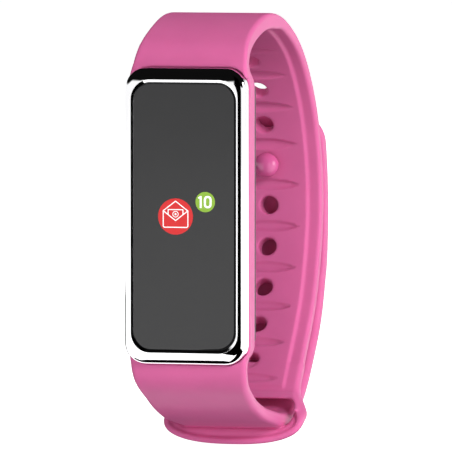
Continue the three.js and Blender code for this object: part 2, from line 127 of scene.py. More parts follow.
class Line:
    """A strap's mid line in the Y-Z plane, with its length and outward normals."""

    def __init__(self, points, side):
        self.points = catmull(points)
        steps = np.linalg.norm(np.diff(self.points, axis=0), axis=1)
        self.distance = np.concatenate([[0], np.cumsum(steps)])
        along = np.gradient(self.points, axis=0)
        self.along = along / np.linalg.norm(along, axis=1)[:, None]
        self.normal = np.stack([side * self.along[:, 1], -side * self.along[:, 0]], 1)
        self.length = self.distance[-1]

    def at(self, distance):
        """Point and outward normal at that distance along the line."""
        point = [np.interp(distance, self.distance, self.points[:, k]) for k in (0, 1)]
        normal = [np.interp(distance, self.distance, self.normal[:, k]) for k in (0, 1)]
        return np.array(point), np.array(normal)

    def fields(self, y, z):
        """Distance along the line and height above it, for every point of a Y-Z grid."""
        grid = np.stack(np.meshgrid(y, z, indexing="ij"), -1).reshape(-1, 2)
        nearest = np.empty(len(grid), int)
        square = (self.points ** 2).sum(1)
        for a in range(0, len(grid), 8192):
            part = grid[a:a + 8192]
            nearest[a:a + 8192] = (square - 2 * part @ self.points.T).argmin(1)
        offset = grid - self.points[nearest]
        s = self.distance[nearest] + (offset * self.along[nearest]).sum(1)
        d = (offset * self.normal[nearest]).sum(1)
        shape = (len(y), len(z))
        return s.reshape(shape), d.reshape(shape)


hole_line = Line(HOLE_STRAP_LINE, -1)
ring_line = Line(RING_LINE, -1)
tail_line = Line(TAIL_STRAP_LINE, 1)


# ---- Signed distance helpers: negative inside ----

def rounded(u, v, radius):
    """Where both u and v are negative, with the edge between them rounded."""
    a, b = u + radius, v + radius
    return np.hypot(np.maximum(a, 0), np.maximum(b, 0)) + np.minimum(np.maximum(a, b), 0) - radius


def plate(x, z, half_width, half_length, corner):
    """A rounded rectangle in the plane."""
    u, v = np.abs(x) - half_width + corner, np.abs(z) - half_length + corner
    return np.hypot(np.maximum(u, 0), np.maximum(v, 0)) + np.minimum(np.maximum(u, v), 0) - corner


def grown_plate(x, z, size, corner, gap):
    """A rounded rectangle of that size, grown by the gap all round."""
    return plate(x, z, size[0] / 2 + gap, size[1] / 2 + gap, corner + gap)


def join(a, b, k):
    """Union with a fillet of about k."""
    return np.minimum(a, b) - np.maximum(k - np.abs(a - b), 0) ** 2 / (4 * k)


def cut(a, b, k):
    """a without b, with the edge between them eased by about k."""
    return -join(-a, b, k)


def smooth(low, high, value):
    t = np.clip((value - low) / (high - low), 0, 1)
    return t * t * (3 - 2 * t)


def outline_distance(x, y, outline):
    """Signed distance in the plane from a closed outline that runs anticlockwise or clockwise."""
    grid = np.stack(np.meshgrid(x, y, indexing="ij"), -1).reshape(-1, 2)
    best = np.full(len(grid), 1e9)
    inside = np.zeros(len(grid), bool)
    for a, b in zip(outline, np.roll(outline, -1, axis=0)):
        edge = b - a
        t = np.clip(((grid - a) @ edge) / max(edge @ edge, 1e-12), 0, 1)
        best = np.minimum(best, ((grid - a - t[:, None] * edge) ** 2).sum(1))
        if a[1] != b[1]:
            crosses = (a[1] > grid[:, 1]) != (b[1] > grid[:, 1])
            inside ^= crosses & (grid[:, 0] < a[0] + edge[0] * (grid[:, 1] - a[1]) / edge[1])
    distance = np.sqrt(best)
    return np.where(inside, -distance, distance).reshape(len(x), len(y))


def polygonise(field, low, steps):
    """Vertices in mm and faces of the field's zero surface."""
    limit = 3 * max(steps)
    grid = openvdb.FloatGrid(limit)
    grid.copyFromArray(np.clip(field, -limit, limit).astype(np.float32))
    points, quads = grid.convertToQuads(isovalue=0.0)
    return points * np.array(steps) + np.array(low), quads


def bezier(p0, p1, p2, p3, count=24):
    t = np.linspace(0, 1, count)[:, None]
    p0, p1, p2, p3 = (np.array(p, float) for p in (p0, p1, p2, p3))
    return (1 - t) ** 3 * p0 + 3 * (1 - t) ** 2 * t * p1 + 3 * (1 - t) * t ** 2 * p2 + t ** 3 * p3


def band_half_width(y):
    wide = CRADLE_SIZE[0] / 2
    curve = bezier((wide, -25.6), (8.5, -23.4), (8.1, -21), (STRAP_HALF_WIDTH, -14))
    return np.interp(y, curve[:, 1], curve[:, 0])


# ---- Mesh and material helpers ----

def mesh_piece(name, vertices, faces, material, slot, smooth_shading=True):
    """A piece from vertices in mm and faces, which are an array of quads or lists of vertex numbers."""
    mesh = bpy.data.meshes.new(name)
    vertices = np.asarray(vertices, np.float32) * MM
    if isinstance(faces, np.ndarray):
        sides = faces.shape[1]
        mesh.vertices.add(len(vertices))
        mesh.vertices.foreach_set("co", vertices.ravel())
        mesh.loops.add(faces.size)
        mesh.loops.foreach_set("vertex_index", faces.astype(np.int32).ravel())
        mesh.polygons.add(len(faces))
        mesh.polygons.foreach_set("loop_start", np.arange(0, faces.size, sides, dtype=np.int32))
    else:
        mesh.from_pydata(vertices.tolist(), [], faces)
    mesh.update(calc_edges=True)
    mesh.validate()
    if smooth_shading:
        mesh.polygons.foreach_set("use_smooth", np.ones(len(mesh.polygons), bool))
    made = bpy.data.objects.new(name, mesh)
    bpy.context.scene.collection.objects.link(made)
    mesh.materials.append(material)
    return made


def keep(vertices, faces, wanted):
    """The faces whose middle is wanted, with only their vertices."""
    faces = faces[wanted(vertices[faces].mean(1))]
    used, renumbered = np.unique(faces, return_inverse=True)
    return vertices[used], renumbered.reshape(faces.shape)


def material(name, colour, roughness, metallic=0.0, vary=0.06, vary_scale=260.0, grain=0.00001,
             grain_scale=3500.0, rough_vary=0.06):
    """A shader whose colour, roughness and fine relief vary over the surface; sizes are per metre."""
    made = bpy.data.materials.new(name)
    made.use_nodes = True
    nodes, links = made.node_tree.nodes, made.node_tree.links
    shader = nodes["Principled BSDF"]
    place = nodes.new("ShaderNodeTexCoord")
    cloud = nodes.new("ShaderNodeTexNoise")
    cloud.inputs["Scale"].default_value = vary_scale
    cloud.inputs["Detail"].default_value = 5.0
    links.new(place.outputs["Object"], cloud.inputs["Vector"])
    ramp = nodes.new("ShaderNodeValToRGB")
    ramp.color_ramp.elements[0].position, ramp.color_ramp.elements[1].position = 0.3, 0.7
    ramp.color_ramp.elements[0].color = [c * (1 - vary) for c in colour] + [1]
    ramp.color_ramp.elements[1].color = [min(1.0, c * (1 + vary)) for c in colour] + [1]
    links.new(cloud.outputs["Fac"], ramp.inputs["Fac"])
    links.new(ramp.outputs["Color"], shader.inputs["Base Color"])
    spread = nodes.new("ShaderNodeMapRange")
    spread.inputs["To Min"].default_value = max(0.0, roughness - rough_vary)
    spread.inputs["To Max"].default_value = min(1.0, roughness + rough_vary)
    links.new(cloud.outputs["Fac"], spread.inputs["Value"])
    links.new(spread.outputs["Result"], shader.inputs["Roughness"])
    if grain:
        fine = nodes.new("ShaderNodeTexNoise")
        fine.inputs["Scale"].default_value = grain_scale
        fine.inputs["Detail"].default_value = 3.0
        links.new(place.outputs["Object"], fine.inputs["Vector"])
        bump = nodes.new("ShaderNodeBump")
        bump.inputs["Distance"].default_value = grain
        links.new(fine.outputs["Fac"], bump.inputs["Height"])
        links.new(bump.outputs["Normal"], shader.inputs["Normal"])
    shader.inputs["Metallic"].default_value = metallic
    return made


def paint(obj, made):
    obj.data.materials.clear()
    obj.data.materials.append(made)


SILICONE_COLOUR = (0.70, 0.143, 0.352)
silicone = material("band_silicone", SILICONE_COLOUR, 0.4, vary=0.03, vary_scale=180.0,
                    grain=0.000006, grain_scale=5200.0, rough_vary=0.05)
soft = silicone.node_tree.nodes["Principled BSDF"].inputs
soft["Subsurface Weight"].default_value = 0.12
soft["Subsurface Radius"].default_value = (0.0015, 0.0005, 0.0009)
soft["Subsurface Scale"].default_value = 0.6
soft["Specular IOR Level"].default_value = 0.14
peg_gloss = material("peg_gloss", (0.66, 0.12, 0.33), 0.16, vary=0.03, grain=0.000002, rough_vary=0.03)
chrome = material("bezel_chrome", (0.93, 0.93, 0.94), 0.035, metallic=1.0, vary=0.01, grain=0.0,
                  rough_vary=0.015)
cover = material("cover_glass", (0.011, 0.011, 0.012), 0.06, vary=0.08, grain=0.0, rough_vary=0.02)
SLOTS = {
    "black_plastic": material("case_black", (0.014, 0.014, 0.016), 0.5, vary=0.15, grain=0.00002,
                              grain_scale=6000.0),
    "grey_plastic": material("frame_grey", (0.09, 0.095, 0.1), 0.5, vary=0.1),
    "display_film": material("display_film", (0.012, 0.012, 0.02), 0.2, vary=0.1, grain=0.0),
    "tape": material("foam_tape", (0.01, 0.01, 0.01), 0.85, vary=0.2, grain=0.00003),
    "flex": material("flex_amber", (0.35, 0.14, 0.025), 0.35, vary=0.12, grain=0.000004),
    "board": material("board_green", (0.012, 0.09, 0.045), 0.4, vary=0.18, vary_scale=900.0),
    "chip": material("chip_epoxy", (0.012, 0.012, 0.013), 0.55, vary=0.15),
    "white_plastic": material("connector_white", (0.62, 0.6, 0.54), 0.5, vary=0.05),
    "steel": material("nickel_steel", (0.55, 0.55, 0.57), 0.28, metallic=1.0, vary=0.05),
    "gold": material("contact_gold", (0.83, 0.56, 0.2), 0.2, metallic=1.0, vary=0.05, grain=0.000002),
    "pouch": material("pouch_foil", (0.6, 0.62, 0.65), 0.36, metallic=0.9, vary=0.06, grain=0.00003,
                      grain_scale=900.0),
    "red_wire": material("wire_red", (0.42, 0.02, 0.02), 0.4, vary=0.06),
    "black_wire": material("wire_black", (0.012, 0.012, 0.012), 0.4, vary=0.1),
}


# ---- The silicone band ----

def groove_and_pad(ax, s):
    """How far the inner face of the hole strap lies below its pad."""
    ledge = LEDGE_DEPTH * smooth(PAD_EDGE, LEDGE_EDGE, ax)
    low = HOLE_FIRST - HOLE_PITCH / 2
    index = np.clip(np.round((s - low) / HOLE_PITCH), 0, HOLE_COUNT)
    across = s - low - index * HOLE_PITCH
    taper = np.maximum(1 - (ax / GROOVE_HALF_LENGTH) ** 2, 1e-3)
    lens = np.maximum(1 - (across / (GROOVE_HALF_HEIGHT * taper)) ** 2, 0) ** 0.6
    dip = GROOVE_DEPTH * lens * np.minimum(1, taper * 2)
    dip = dip * (ax < GROOVE_HALF_LENGTH)
    return np.maximum(ledge, dip)


def half_thickness(s, thickness):
    """Half the thickness of a strap that starts thicker at the module."""
    return (ROOT_THICKNESS + (thickness - ROOT_THICKNESS) * smooth(0, ROOT_FADE, s)) / 2


def hole_strap_field(ax, s, d, width):
    """The strap with its pad, ledge, grooves and nine holes."""
    half_thick = half_thickness(s, HOLE_STRAP_THICKNESS)
    inner = half_thick - groove_and_pad(ax, s) * smooth(PAD_FADE_START, PAD_FADE_END, s)
    plan = np.maximum(ax - width, s - hole_line.length)
    strap = np.where(d > 0, rounded(plan, d - half_thick, 0.6), rounded(plan, -d - inner, 0.5))
    index = np.clip(np.round((s - HOLE_FIRST) / HOLE_PITCH), 0, HOLE_COUNT - 1)
    bore = np.hypot(ax, s - HOLE_FIRST - index * HOLE_PITCH) - HOLE_RADIUS
    return cut(strap, bore, 0.35)


def ring_outline():
    """The ring seen along Y: it flares out from the strap and ends in a squarish half ellipse."""
    narrow, wide = STRAP_HALF_WIDTH, RING_HALF_WIDTH
    right = np.concatenate([
        [(narrow, -15), (narrow, RING_FLARE_Z)],
        bezier((narrow, RING_FLARE_Z), (narrow, -27.6), (wide, -28.6), (wide, RING_WIDEST_Z)),
    ])
    angles = np.linspace(0, -math.pi, 49)[1:-1]
    square = [np.sign(f) * np.abs(f) ** 0.8 for f in (np.cos(angles), np.sin(angles))]
    nose = np.stack([wide * square[0], RING_WIDEST_Z + RING_NOSE * square[1]], 1)
    return np.concatenate([right, nose, right[::-1] * (-1, 1)])


def ring_field(ax, z, s, d):
    """The slotted ring: hollow in front inside its beaded rim, with a lip above the slot."""
    zz = z[None, None, :]
    plan = outline_distance(ax[:, 0, 0], z, ring_outline())[:, None, :]
    middle, half_height = (SLOT_LOW + SLOT_HIGH) / 2, (SLOT_HIGH - SLOT_LOW) / 2
    slot = plate(ax, zz - middle, SLOT_HALF_WIDTH, half_height, SLOT_CORNER)
    hollow = RING_HOLLOW * smooth(0.8, 1.2, -plan) * (d < 0) * (zz < -29)
    lip = RING_LIP * smooth(-1.2, -0.6, -slot) * (d < 0) * (zz > -29)
    slotted = np.maximum(np.maximum(plan, -slot), -s)
    return rounded(slotted, np.abs(d) - RING_THICKNESS / 2 + hollow - lip, 0.6)


def lower_strap_field(ax, s, d, width):
    """The whole lower strap up to its rounded tip."""
    tip_s = np.interp(TAIL_TIP_Z, tail_line.points[-200:, 1], tail_line.distance[-200:])
    u, v = ax - width + TAIL_TIP_CORNER, s - tip_s + TAIL_TIP_CORNER
    plan = np.where((v > 0) & (u > 0), np.hypot(u, v) - TAIL_TIP_CORNER, np.maximum(ax - width, s - tip_s))
    edge = 0.95 - 0.4 * smooth(60, 64, s)
    return rounded(plan, np.abs(d) - half_thickness(s, STRAP_THICKNESS), edge)


def without_peg_seat(strap, ax, yy, zz):
    """The strap with the peg's stem hole and the recess of its flange."""
    point, normal = hole_line.at(HOLE_FIRST + PEG_INDEX * HOLE_PITCH)
    run = (yy - point[0]) * -normal[1] + (zz - point[1]) * normal[0]
    rise = (yy - point[0]) * normal[0] + (zz - point[1]) * normal[1]
    radius = np.hypot(ax, run)
    outside = 9.0
    strap = cut(strap, np.where(rise > 0, radius - PEG_STEM - 0.2, outside), 0.05)
    recess = np.maximum(radius - PEG_FLANGE - SEAT_GAP, peg_flange_start() - 0.1 - rise)
    return cut(strap, recess, 0.25)


def silicone_fields():
    """The band without its outer strap, and the outer strap alone, on one grid."""
    half = int(GRID_HALF_WIDTH / VOXEL)
    ax = (np.arange(half + 1) * VOXEL)[:, None, None]
    y = np.arange(*GRID_Y, VOXEL)
    z = np.arange(*GRID_Z, VOXEL)
    origin = (-half * VOXEL, GRID_Y[0], GRID_Z[0])
    yy, zz = y[None, :, None], z[None, None, :]
    width = band_half_width(y)[None, :, None]

    strap = hole_strap_field(ax, *(f[None] for f in hole_line.fields(y, z)), width)
    strap = join(strap, ring_field(ax, z, *(f[None] for f in ring_line.fields(y, z))), 0.6)
    tail_s, tail_d = (f[None] for f in tail_line.fields(y, z))
    lower = lower_strap_field(ax, tail_s, tail_d, width)
    overlap = 3 * VOXEL
    outer = np.maximum(without_peg_seat(lower, ax, yy, zz), CUT_DISTANCE - overlap - tail_s)
    before_cut = np.maximum(lower, tail_s - CUT_DISTANCE - overlap)

    # Cradle round the module.
    my, mz = yy - MODULE_FRONT_Y, zz - MODULE_CENTRE_Z
    around = plate(ax, mz, CRADLE_SIZE[0] / 2, CRADLE_SIZE[1] / 2, CRADLE_CORNER)
    cradle = rounded(around, np.maximum(my - CRADLE_BACK, CRADLE_FRONT - my), 0.5)
    body = np.minimum(join(strap, cradle, 1.4), join(before_cut, cradle, 1.4))
    pocket = np.maximum(grown_plate(ax, mz, CASE_SIZE, CASE_CORNER, POCKET_GAP), my - 15)
    seat = grown_plate(ax, mz, BEZEL_SIZE, BEZEL_CORNER, RIM_GAP)
    seat = np.maximum(seat, my - BEZEL_DEPTH - SEAT_GAP)
    body = cut(cut(body, seat, 0.2), pocket, 0.2)

    def whole(field):
        field = np.broadcast_to(field, (half + 1, len(y), len(z)))
        return np.concatenate([field[:0:-1], field])
    return whole(body), whole(outer), origin


def peg_flange_start():
    """Distance from the hole strap's mid line to the underside of the peg's flange."""
    point, _ = hole_line.at(HOLE_FIRST + PEG_INDEX * HOLE_PITCH)
    outside = tail_line.points[-400:]
    nearest = outside[np.abs(outside[:, 1] - point[1]).argmin()]
    return nearest[0] - point[0] + STRAP_THICKNESS / 2 - PEG_FLANGE_THICKNESS


def tail_distance(middles):
    """Distance along the lower strap's mid line for each face middle."""
    nearest = np.concatenate([
        np.linalg.norm(part[:, None, 1:] - tail_line.points[None, ::4], axis=2).argmin(1)
        for part in np.array_split(middles, max(1, len(middles) // 4000))])
    return tail_line.distance[::4][nearest]


def in_outer_range(middles):
    """Faces of the lower strap beyond the place where the outer strap takes over."""
    near = ((middles[:, 1] > 0) & (middles[:, 1] < 6) & (middles[:, 2] < -28.6)
            & (np.abs(middles[:, 0]) < 8.4))
    beyond = np.zeros(len(middles), bool)
    where = np.flatnonzero(near)
    if len(where):
        beyond[where] = tail_distance(middles[where]) > CUT_DISTANCE
    return beyond


def before_outer_range(middles):
    near = (middles[:, 1] < 6) & (middles[:, 2] < -28.6)
    return near & (tail_distance(middles) <= CUT_DISTANCE)


def is_hole_strap(middles):
    y, z = middles[:, 1], middles[:, 2]
    return (y > -14) & ((z > 0) | (y > -8) & (z > -20) | (y > 3) & (z > -27))


to_start = np.linalg.norm(tail_line.points - OUTER_STRAP_START, axis=1)
CUT_DISTANCE = float(tail_line.distance[to_start.argmin()])
body_field, outer_field, origin = silicone_fields()
steps = (VOXEL,) * 3

vertices, quads = polygonise(body_field, origin, steps)
hole_part = keep(vertices, quads, is_hole_strap)
base_part = keep(vertices, quads, lambda m: ~is_hole_strap(m) & ~in_outer_range(m))
hole_strap = mesh_piece("hole_strap", *hole_part, silicone, "silicone")
band_base = mesh_piece("band_base", *base_part, silicone, "silicone")
for made in (hole_strap, band_base):
    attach(made, "band")
    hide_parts("silicone_band")

vertices, quads = polygonise(outer_field, origin, steps)
outer_part = keep(vertices, quads, lambda m: ~before_outer_range(m))
outer_strap = mesh_piece("outer_strap", *outer_part, silicone, "silicone")
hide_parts("strap_tail")
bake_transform(outer_strap)


# ---- Clasp peg ----

def lathe(profile, segments=64):
    """Vertices and faces of a profile of (radius, height) turned round the height axis."""
    profile = np.array(profile, float)
    angles = np.arange(segments) * 2 * math.pi / segments
    rings = np.stack([np.outer(profile[:, 0], np.cos(angles)), np.outer(profile[:, 0], np.sin(angles)),
                      np.repeat(profile[:, 1:], segments, 1)], -1)
    count = len(profile)
    faces = [(r * segments + a, r * segments + (a + 1) % segments,
              (r + 1) * segments + (a + 1) % segments, (r + 1) * segments + a)
             for r in range(count - 1) for a in range(segments)]
    faces += [list(range(segments))[::-1], list(range((count - 1) * segments, count * segments))]
    return rings.reshape(-1, 3), faces


def make_peg():
    """The stud: a domed head inside the hole strap, a stem and a flange sunk into the outer strap."""
    point, normal = hole_line.at(HOLE_FIRST + PEG_INDEX * HOLE_PITCH)
    middle = -(HOLE_STRAP_THICKNESS / 2 + PEG_BALL_LIFT)
    underside = -(HOLE_STRAP_THICKNESS / 2 + SEAT_GAP)
    flange = peg_flange_start()
    edge, rounding = flange + 0.25, 0.45
    head_angle = math.acos((middle - underside) / PEG_BALL)
    profile = [(PEG_BALL * math.sin(t), middle - PEG_BALL * math.cos(t))
               for t in np.linspace(0.02, head_angle, 36)]
    profile += [
        (profile[-1][0] - 0.12, underside + 0.06),
        (PEG_STEM + 0.1, underside + 0.06),
        (PEG_STEM, underside + 0.2),
        (PEG_STEM, flange - 0.2),
        (PEG_STEM + 0.06, flange - 0.06),
        (PEG_STEM + 0.2, flange),
        (PEG_FLANGE - 0.1, flange),
        (PEG_FLANGE - 0.02, flange + 0.04),
        (PEG_FLANGE, flange + 0.12),
    ]
    profile += [(PEG_FLANGE - rounding * (1 - math.cos(t)), edge + rounding * math.sin(t))
                for t in np.linspace(0, math.pi / 2, 8)]
    profile += [(PEG_FLANGE - 1.0, flange + 0.72), (0.02, flange + 0.76)]
    local, faces = lathe(profile)
    across = np.array([1.0, 0, 0])
    out = np.array([0, normal[0], normal[1]])
    along = np.cross(out, across)
    placed = local[:, :1] * across + local[:, 1:2] * along + local[:, 2:] * out + (0, point[0], point[1])
    if np.dot(np.cross(across, along), out) < 0:
        faces = [f[::-1] for f in faces]
    return mesh_piece("peg", placed, faces, peg_gloss, "peg_plastic")


peg = make_peg()
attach(peg, "tail")
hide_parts("clasp_peg")


# ---- Chrome bezel and cover glass ----

def rect_loop(width, length, corner, arc=14):
    """Points of a rounded rectangle with how much each one belongs to an end (1) or a side (0)."""
    points, ends = [], []
    for cx, cz, start in ((1, 1, 0.0), (-1, 1, 0.5), (-1, -1, 1.0), (1, -1, 1.5)):
        for i in range(arc + 1):
            a = (start + 0.5 * i / arc) * math.pi
            points.append((cx * (width / 2 - corner) + corner * math.cos(a),
                           cz * (length / 2 - corner) + corner * math.sin(a)))
            ends.append(abs(math.sin(a)) ** 4)
    return np.array(points), np.array(ends)


def bezel_profile(end):
    """The bar's section at a side (end 0) or an end (1), from the window to the back.

    Gives each point's share of the bar's width and its depth behind the bezel's front.
    """
    width = 1.45 + 0.85 * end
    chamfer = 0.2 + 0.17 * end
    radius = 0.85
    slope_start, slope_end = np.radians([3 + 9 * end, 9 + 19 * end])
    u = [0.0, 0.0, chamfer, chamfer + 0.02]
    y = [1.1, chamfer * 0.3, 0.0, 0.0]
    face = width - u[-1] - radius * (1 - math.sin(slope_end))
    face_steps, fillet_steps = 8, 12
    for i in range(1, face_steps + 1):
        angle = slope_start + (slope_end - slope_start) * (i - 0.5) / face_steps
        u.append(u[-1] + face / face_steps)
        y.append(y[-1] + face / face_steps * math.tan(angle))
    centre_u = u[-1] - radius * math.sin(slope_end)
    centre_y = y[-1] + radius * math.cos(slope_end)
    for i in range(1, fillet_steps + 1):
        angle = slope_end + (math.pi / 2 - slope_end) * i / fillet_steps
        u.append(centre_u + radius * math.sin(angle))
        y.append(centre_y - radius * math.cos(angle))
    scale = u[-1]
    u += [scale, scale - 0.05, scale - 0.2, 0.25, 0.0]
    y += [BEZEL_DEPTH - 0.2, BEZEL_DEPTH - 0.05, BEZEL_DEPTH, BEZEL_DEPTH, BEZEL_DEPTH - 0.6]
    return np.array(u) / scale, np.array(y)


def place_on_module(x, y, z):
    return np.stack([x, y + MODULE_FRONT_Y, z + MODULE_CENTRE_Z], -1)


def strip_faces(rings, per_ring):
    """Quads between closed rings that follow each other, the last joined to the first."""
    return [(r * per_ring + a, r * per_ring + (a + 1) % per_ring,
             ((r + 1) % rings) * per_ring + (a + 1) % per_ring, ((r + 1) % rings) * per_ring + a)
            for r in range(rings) for a in range(per_ring)]


def make_bezel():
    inner, ends = rect_loop(GLASS_SIZE[0] + 0.1, GLASS_SIZE[1] + 0.1, GLASS_CORNER + 0.05)
    outer, _ = rect_loop(*BEZEL_SIZE, BEZEL_CORNER)
    profiles = [bezel_profile(e) for e in ends]
    across = np.array([p[0] for p in profiles]).T
    depth = np.array([p[1] for p in profiles]).T
    plan = inner + (outer - inner) * across[:, :, None]
    points = place_on_module(plan[..., 0], depth, plan[..., 1]).reshape(-1, 3)
    faces = strip_faces(len(across), len(inner))
    made = mesh_piece("bezel", points, [f[::-1] for f in faces], chrome, "chrome")
    made.data.set_sharp_from_angle(angle=math.radians(SHARP_ANGLE_DEGREES))
    return made


def make_glass():
    """Flat glass with an eased front edge."""
    inset_and_depth = [
        (0.0, GLASS_THICKNESS),
        (0.0, 0.12),
        (0.035, 0.035),
        (0.12, 0.0),
        (0.5, 0.0),
    ]
    rings = []
    for inset, depth in inset_and_depth:
        loop, _ = rect_loop(GLASS_SIZE[0] - 2 * inset, GLASS_SIZE[1] - 2 * inset, GLASS_CORNER - inset)
        rings.append(place_on_module(loop[:, 0], np.full(len(loop), GLASS_FRONT + depth), loop[:, 1]))
    per_ring = len(rings[0])
    faces = strip_faces(len(rings), per_ring)[:-per_ring]
    faces += [list(range(per_ring))[::-1], list(range((len(rings) - 1) * per_ring, len(rings) * per_ring))]
    return mesh_piece("cover_glass", np.concatenate(rings), faces, cover, "display_glass")


bezel = make_bezel()
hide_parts("bezel_frame")
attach(bezel, "module")
glass = make_glass()
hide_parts("display_glass")
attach(glass, "module")


# ---- Icons on the display ----

RED_CENTRE = (-1.38, 0.0)
GREEN_CENTRE = (3.2, 2.2)


def lit(name, colour, strength):
    made = material(name, colour, 0.35, vary=0.03, vary_scale=2200.0, grain=0.0)
    shader = made.node_tree.nodes["Principled BSDF"]
    shader.inputs["Emission Color"].default_value = (*colour, 1)
    shader.inputs["Emission Strength"].default_value = strength
    return made


red_lit = lit("icon_red", (0.62, 0.02, 0.022), 0.2)
green_lit = lit("icon_green", (0.25, 0.44, 0.04), 0.2)
white_lit = lit("icon_white", (0.85, 0.85, 0.85), 0.35)


def capsule(x, z, a, b, radius):
    edge = np.array(b, float) - a
    t = np.clip(((x - a[0]) * edge[0] + (z - a[1]) * edge[1]) / (edge @ edge), 0, 1)
    return np.hypot(x - a[0] - t * edge[0], z - a[1] - t * edge[1]) - radius


def chain(x, z, points, radius):
    return np.min([capsule(x, z, np.array(a), b, radius) for a, b in zip(points, points[1:])], axis=0)


def inlay(name, centre, reach, raised, shape, made):
    """A thin plate of that plan on the glass; raised ones lie on the disc below them."""
    step, depth_step, plate_thickness, behind, sunk = 0.04, 0.01, 0.02, 0.05, 0.01
    x = np.arange(-reach, reach + step, step)
    depth = np.arange(-behind, behind + sunk + raised, depth_step)
    plan = shape(*np.meshgrid(x, x, indexing="ij"))[:, None, :]
    thin = np.maximum(-depth, depth - plate_thickness - raised)[None, :, None]
    vertices, quads = polygonise(np.maximum(plan, thin), (-reach, 0, -reach), (step, depth_step, step))
    placed = place_on_module(
        vertices[:, 0] + centre[0],
        GLASS_FRONT - (vertices[:, 1] - behind - sunk),
        vertices[:, 2] + centre[1],
    )
    piece = mesh_piece(name, placed, quads[:, ::-1], made, "display_film", smooth_shading=False)
    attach(piece, "module")
    return piece


def envelope(x, z):
    """An open envelope with a sheet that carries a ring and a dot."""
    line = 0.08
    left, right = (-1.9, 0.85), (1.9, 0.85)
    body = chain(x, z, [left, (-1.9, -1.45), (-1.75, -1.6), (1.75, -1.6), (1.9, -1.45), right], line)
    roof = chain(x, z, [left, (0, 2.28), right], line)
    flap = chain(x, z, [left, (0, -0.6), right], line)
    sheet = chain(x, z, [(-1.15, 0.3), (-1.15, 1.02), (1.15, 1.02), (1.15, 0.3)], line)
    from_sign = np.hypot(x, z - 0.35)
    ring = np.abs(from_sign - 0.42) - 0.06
    dot = from_sign - 0.17
    return np.min([body, roof, flap, sheet, ring, dot], axis=0)


def ten(x, z):
    """The number 10."""
    one = np.minimum(np.maximum(np.abs(x + 0.7) - 0.16, np.abs(z) - 0.9),
                     chain(x, z, [(-1.0, 0.6), (-0.72, 0.78)], 0.12))
    zero = plate(x - 0.38, z, 0.6, 0.92, 0.55)
    zero = np.maximum(zero, -plate(x - 0.38, z, 0.27, 0.6, 0.25))
    return np.minimum(one, zero)


inlay("icon_disc", RED_CENTRE, 3.0, 0.0, lambda x, z: np.hypot(x, z) - 2.7, red_lit)
inlay("icon_envelope", RED_CENTRE, 3.0, 0.02, envelope, white_lit)
inlay("badge_disc", GREEN_CENTRE, 1.8, 0.0, lambda x, z: np.hypot(x, z) - 1.52, green_lit)
inlay("badge_count", GREEN_CENTRE, 1.8, 0.02, ten, white_lit)


# ---- Rear case ----

def make_rear_case():
    """A tub with rounded rear edges and a dished well round each charging contact."""
    step, wall, rear = 0.2, 0.9, 1.0
    low = (-8.0, CASE_FRONT - 0.6, -21.2)
    x = np.arange(low[0], 8.2, step)[:, None, None]
    y = np.arange(low[1], CASE_BACK + 0.8, step)[None, :, None]
    z = np.arange(low[2], 21.4, step)[None, None, :]
    outline = grown_plate(x, z, CASE_SIZE, CASE_CORNER, 0.0)
    outer = np.maximum(rounded(outline, y - CASE_BACK, 0.35), CASE_FRONT - y)
    hollow = np.maximum(grown_plate(x, z, CASE_SIZE, CASE_CORNER, -wall), y - CASE_BACK + rear)
    shell = np.maximum(outer, -hollow)
    for side in (-1, 1):
        well = np.hypot(x - side * CONTACT_X, z - CONTACT_Z)
        shell = cut(shell, np.maximum(well - 1.0, -y - 6), 0.15)
        shell = cut(shell, np.maximum(well - 1.7, CASE_BACK - 0.25 - y), 0.2)
    vertices, quads = polygonise(np.broadcast_to(shell, (x.size, y.size, z.size)), low, (step,) * 3)
    placed = place_on_module(*vertices.T)
    return mesh_piece("case_shell", placed, quads, SLOTS["black_plastic"], "black_plastic")


case = make_rear_case()
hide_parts("rear_case")
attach(case, "module")


# ---- Finish of the CAD nodes that stay ----

NODE_SLOTS = {
    "touch_film": "display_film", "glass_adhesive": "tape", "display_panel": "display_film",
    "display_flex": "flex", "midframe": "grey_plastic", "main_board": "board",
    "bluetooth_processor": "chip", "flash_memory": "chip", "power_chip": "chip",
    "motion_sensor": "grey_plastic", "clock_crystal": "steel", "display_connector": "white_plastic",
    "chip_antenna": "white_plastic", "battery_connector": "white_plastic",
    "board_screw_1": "steel", "board_screw_2": "steel", "board_screw_3": "steel", "board_screw_4": "steel",
    "battery": "pouch", "battery_tape": "tape",
    "battery_lead_red": "red_wire", "battery_lead_black": "black_wire",
    "motor_cup": "steel", "motor_base": "steel", "motor_weight": "steel", "case_gasket": "tape",
    "charging_contact_left": "gold", "charging_contact_right": "gold",
    "contact_spring_left": "gold", "contact_spring_right": "gold",
}
for node, slot_name in NODE_SLOTS.items():
    paint(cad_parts[node], SLOTS[slot_name])


# ---- Stage, light and camera ----

FLOOR_Z = -0.0345
CAMERA_AZIMUTH, CAMERA_ELEVATION, CAMERA_DISTANCE = 16.5, 2.8, 1.37
# The width seen at the module's distance, and where the camera looks from the module's middle, in mm.
VIEW_WIDTH = 66.864
LOOK_RIGHT, LOOK_UP = 6.243, -1.368


def disc_piece(name, radius, z, made, centre=(0, 0)):
    points = [(centre[0] + radius * math.cos(a), centre[1] + radius * math.sin(a), z)
              for a in np.arange(96) * 2 * math.pi / 96]
    mesh = bpy.data.meshes.new(name)
    mesh.from_pydata(points, [], [list(range(96))])
    piece = bpy.data.objects.new(name, mesh)
    bpy.context.scene.collection.objects.link(piece)
    mesh.materials.append(made)
    return piece


